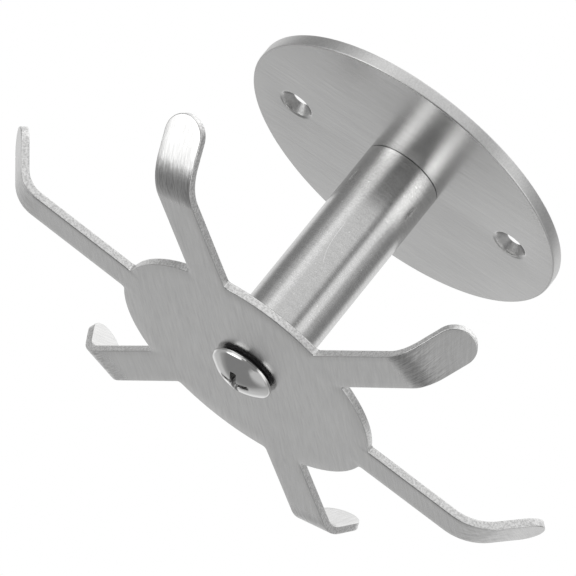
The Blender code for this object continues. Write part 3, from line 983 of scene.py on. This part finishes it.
def screw_finish():
    """Polished dome and punched cross, told apart by the height above the dome."""
    finish = Finish("polished_steel", metallic=1.0)
    place = finish.place()
    x, y, z = finish.parts(place)
    away = (x * x + y * y).math("SQRT")
    dome = away * away * (DOME / HEAD_RADIUS ** 2) + CROWN
    punched = finish.step(z - dome, *DOME_TO_CROSS) * finish.step(away, *PAST_WINGS, 1.0, 0.0)
    dots = finish.noise(place, 900.0, detail=3.0, roughness=0.6)
    flecks = finish.step(finish.noise(place, 1400.0, roughness=0.6), 0.40, 0.58)
    # Painted shade: the cross is drawn dark, with bright flecks in it.
    shade = finish.mix(punched, DOME_SHADE + dots * 0.06, RECESS_PAINTED_SHADE + flecks * 0.40)
    finish.grey(shade, STEEL_TINT)
    finish.rough(finish.mix(punched, 0.05 + dots * 0.06, 0.16))
    finish.relief(dots, DOME_DEPTH)
    return finish.material


screw_patch = (turned(screw_points, CROSS_TURN), screw_faces)
make_piece("dome_screw", [screw_patch], "root", "pivot_screw", screw_finish())

# %% [markdown]
# ## The washer
# A nylon disc between the sheet and the screw's head, seen as a dark crescent. Like the post, it is
# one closed profile turned about the axis, with its outer edges well rounded.

# %% Washer
WASHER_RADIUS = 7.2 * MM
WASHER_BORE = 4.3 * MM
WASHER_TOP = -66.73 * MM
WASHER_BOTTOM = -67.68 * MM
WASHER_EASE = 0.4 * MM
WASHER_EASE_STEPS = 4
WASHER_SEGMENTS = 128
ease_centre = WASHER_RADIUS - WASHER_EASE
washer_profile = np.concatenate([
    [(WASHER_BORE, WASHER_TOP)],
    arc((ease_centre, WASHER_TOP - WASHER_EASE), WASHER_EASE, 90.0, 0.0, WASHER_EASE_STEPS),
    arc((ease_centre, WASHER_BOTTOM + WASHER_EASE), WASHER_EASE, 0.0, -90.0, WASHER_EASE_STEPS),
    [(WASHER_BORE, WASHER_BOTTOM), (WASHER_BORE, WASHER_TOP)]])
make_piece("washer", [spun(washer_profile, WASHER_SEGMENTS)], "root", "head_washer",
           small_finishes["black_nylon"])

# %% [markdown]
# ## The studio
# Polished and brushed metal shows its surroundings, so the studio is drawn on the world: a white
# wall behind the object, soft boxes on both sides of the camera, a light ceiling, and a dim ground
# with a few low panels. A direction has a compass angle, taken from the camera's own, and a height
# above the horizon. Each light is a smooth window in these angles. The camera sees plain white.

# %% Lights of the studio, in degrees
# Compass start and end, over how many degrees it rises and falls, and its strength.
SOFT_BOXES = (
    (-76.0, -54.0, 20.0, 20.0, 0.28),
    (-60.0, 13.0, 14.0, 14.0, 0.47),
    (43.0, 56.0, 11.0, 14.0, 0.48),
    (43.0, 72.0, 14.0, 20.0, 0.20))
# The same for the compass, then start, end, and rise and fall of the height, and the strength.
LOW_PANELS = (
    (-64.0, -54.0, 34.0, 30.0, -54.0, -14.0, 8.0, 1.05),
    (-94.0, -68.0, 12.0, 12.0, -54.0, -36.0, 8.0, 1.30),
    (47.0, 54.0, 21.0, 46.0, -32.0, -14.0, 8.0, 1.55),
    (56.0, 125.0, 18.0, 18.0, -75.0, -44.0, 10.0, 0.32))
# Smooth steps: where each starts and ends, and its light.
ROOM_LIGHT = 0.28
WALL_ASIDE, WALL_COMPASS, WALL_LIGHT = 4.0, (112.0, 146.0), 0.72
CEILING_HEIGHT, CEILING_LIGHT = (40.0, 62.0), 0.40
HORIZON = (-18.0, 0.0)
GROUND_HEIGHT, GROUND_LIGHT = (-50.0, -26.0), (0.22, 0.42)
FAR_COMPASS, FAR_HEIGHT, FAR_LIGHT = (120.0, 168.0), (-38.0, -24.0), 0.20
SHADE_COMPASS, SHADE_HEIGHT, SHADE = (-26.0, 26.0, 22.0, 16.0), (-44.0, -30.0), 0.16
DEGREES = 180.0 / math.pi
print("the studio has", len(SOFT_BOXES), "soft boxes and", len(LOW_PANELS), "low panels")


# %% World
def studio_light(nodes, compass, height):
    """The studio's light from a direction.

    Above the horizon it is the sum of the room, the wall, the soft boxes and the ceiling. Below it,
    it is the ground, which is lighter far behind the object and darker under the camera, and the
    panels.
    """
    wall = nodes.step(abs(compass + WALL_ASIDE), *WALL_COMPASS) * WALL_LIGHT
    above = ROOM_LIGHT + wall
    for start, end, rise, fall, strength in SOFT_BOXES:
        above = above + nodes.window(compass, start, end, rise, fall) * strength
    ceiling = nodes.step(height, *CEILING_HEIGHT) * CEILING_LIGHT
    far = nodes.step(abs(compass), *FAR_COMPASS) * nodes.step(height, *FAR_HEIGHT) * FAR_LIGHT
    ground = nodes.step(height, *GROUND_HEIGHT, *GROUND_LIGHT) + far
    shade = nodes.window(compass, *SHADE_COMPASS) * nodes.step(height, *SHADE_HEIGHT)
    below = ground - shade * SHADE
    for start, end, rise, fall, low, high, soft, strength in LOW_PANELS:
        panel = nodes.window(compass, start, end, rise, fall)
        panel = panel * nodes.window(height, low, high, soft, soft)
        below = below + panel * strength
    horizon = nodes.step(height, *HORIZON)
    return horizon * (above + ceiling) + (1.0 - horizon) * below


def make_world():
    """Light from each direction, and white for rays that come from the camera.

    The compass is the arc tangent of y and x, after a turn that brings the camera's side to 0, and
    the height is the arc sine of z.
    """
    world = bpy.data.worlds.new("studio")
    world.use_nodes = True
    bpy.context.scene.world = world
    nodes = Nodes(world.node_tree)
    back = CAMERA_PLACE - CAMERA_TARGET
    direction = nodes.add("ShaderNodeTexCoord", output="Generated")
    direction = nodes.mapping(direction, "Rotation", (0.0, 0.0, -math.atan2(back.y, back.x)))
    x, y, z = nodes.parts(direction)
    light = studio_light(nodes, y.math("ARCTAN2", x) * DEGREES, z.math("ARCSINE") * DEGREES)
    seen = nodes.add("ShaderNodeLightPath", output="Is Camera Ray")
    glow = world.node_tree.nodes["Background"].inputs
    nodes.plug(glow["Strength"], seen + (1.0 - seen) * light)
    glow["Color"].default_value = (1.0, 1.0, 1.0, 1.0)
    print("world drawn with", len(world.node_tree.nodes), "nodes")


make_world()

# %% [markdown]
# ## The floor
# A plain pale floor far below closes the room. It lies low enough to stay out of the picture, and
# the metal doesn't mirror it, because the world already holds the ground that the metal shows.

# %% Floor
FLOOR_HEIGHT = -2.6
FLOOR_RADIUS = 9.0
FLOOR_SEGMENTS = 96
FLOOR_SHADE = 0.88
FLOOR_GRAINS = 3.0


def make_floor():
    """A wide round floor of pale matt paint at the foot of the room."""
    finish = Finish("pale_floor", metallic=0.0)
    dots = finish.noise(finish.place(), FLOOR_GRAINS)
    finish.grey(FLOOR_SHADE + dots * 0.02)
    finish.rough(0.9)
    points, faces = spun([(0.0, FLOOR_HEIGHT), (FLOOR_RADIUS, FLOOR_HEIGHT)], FLOOR_SEGMENTS)
    mesh = bpy.data.meshes.new("floor")
    mesh.from_pydata(points, [], faces.tolist())
    mesh.materials.append(finish.material)
    floor = bpy.data.objects.new("floor", mesh)
    floor.visible_glossy = False
    bpy.context.scene.collection.objects.link(floor)
    print("floor", 2 * FLOOR_RADIUS, "m wide at", FLOOR_HEIGHT, "m")


make_floor()
bpy.context.scene.view_settings.view_transform = "Standard"
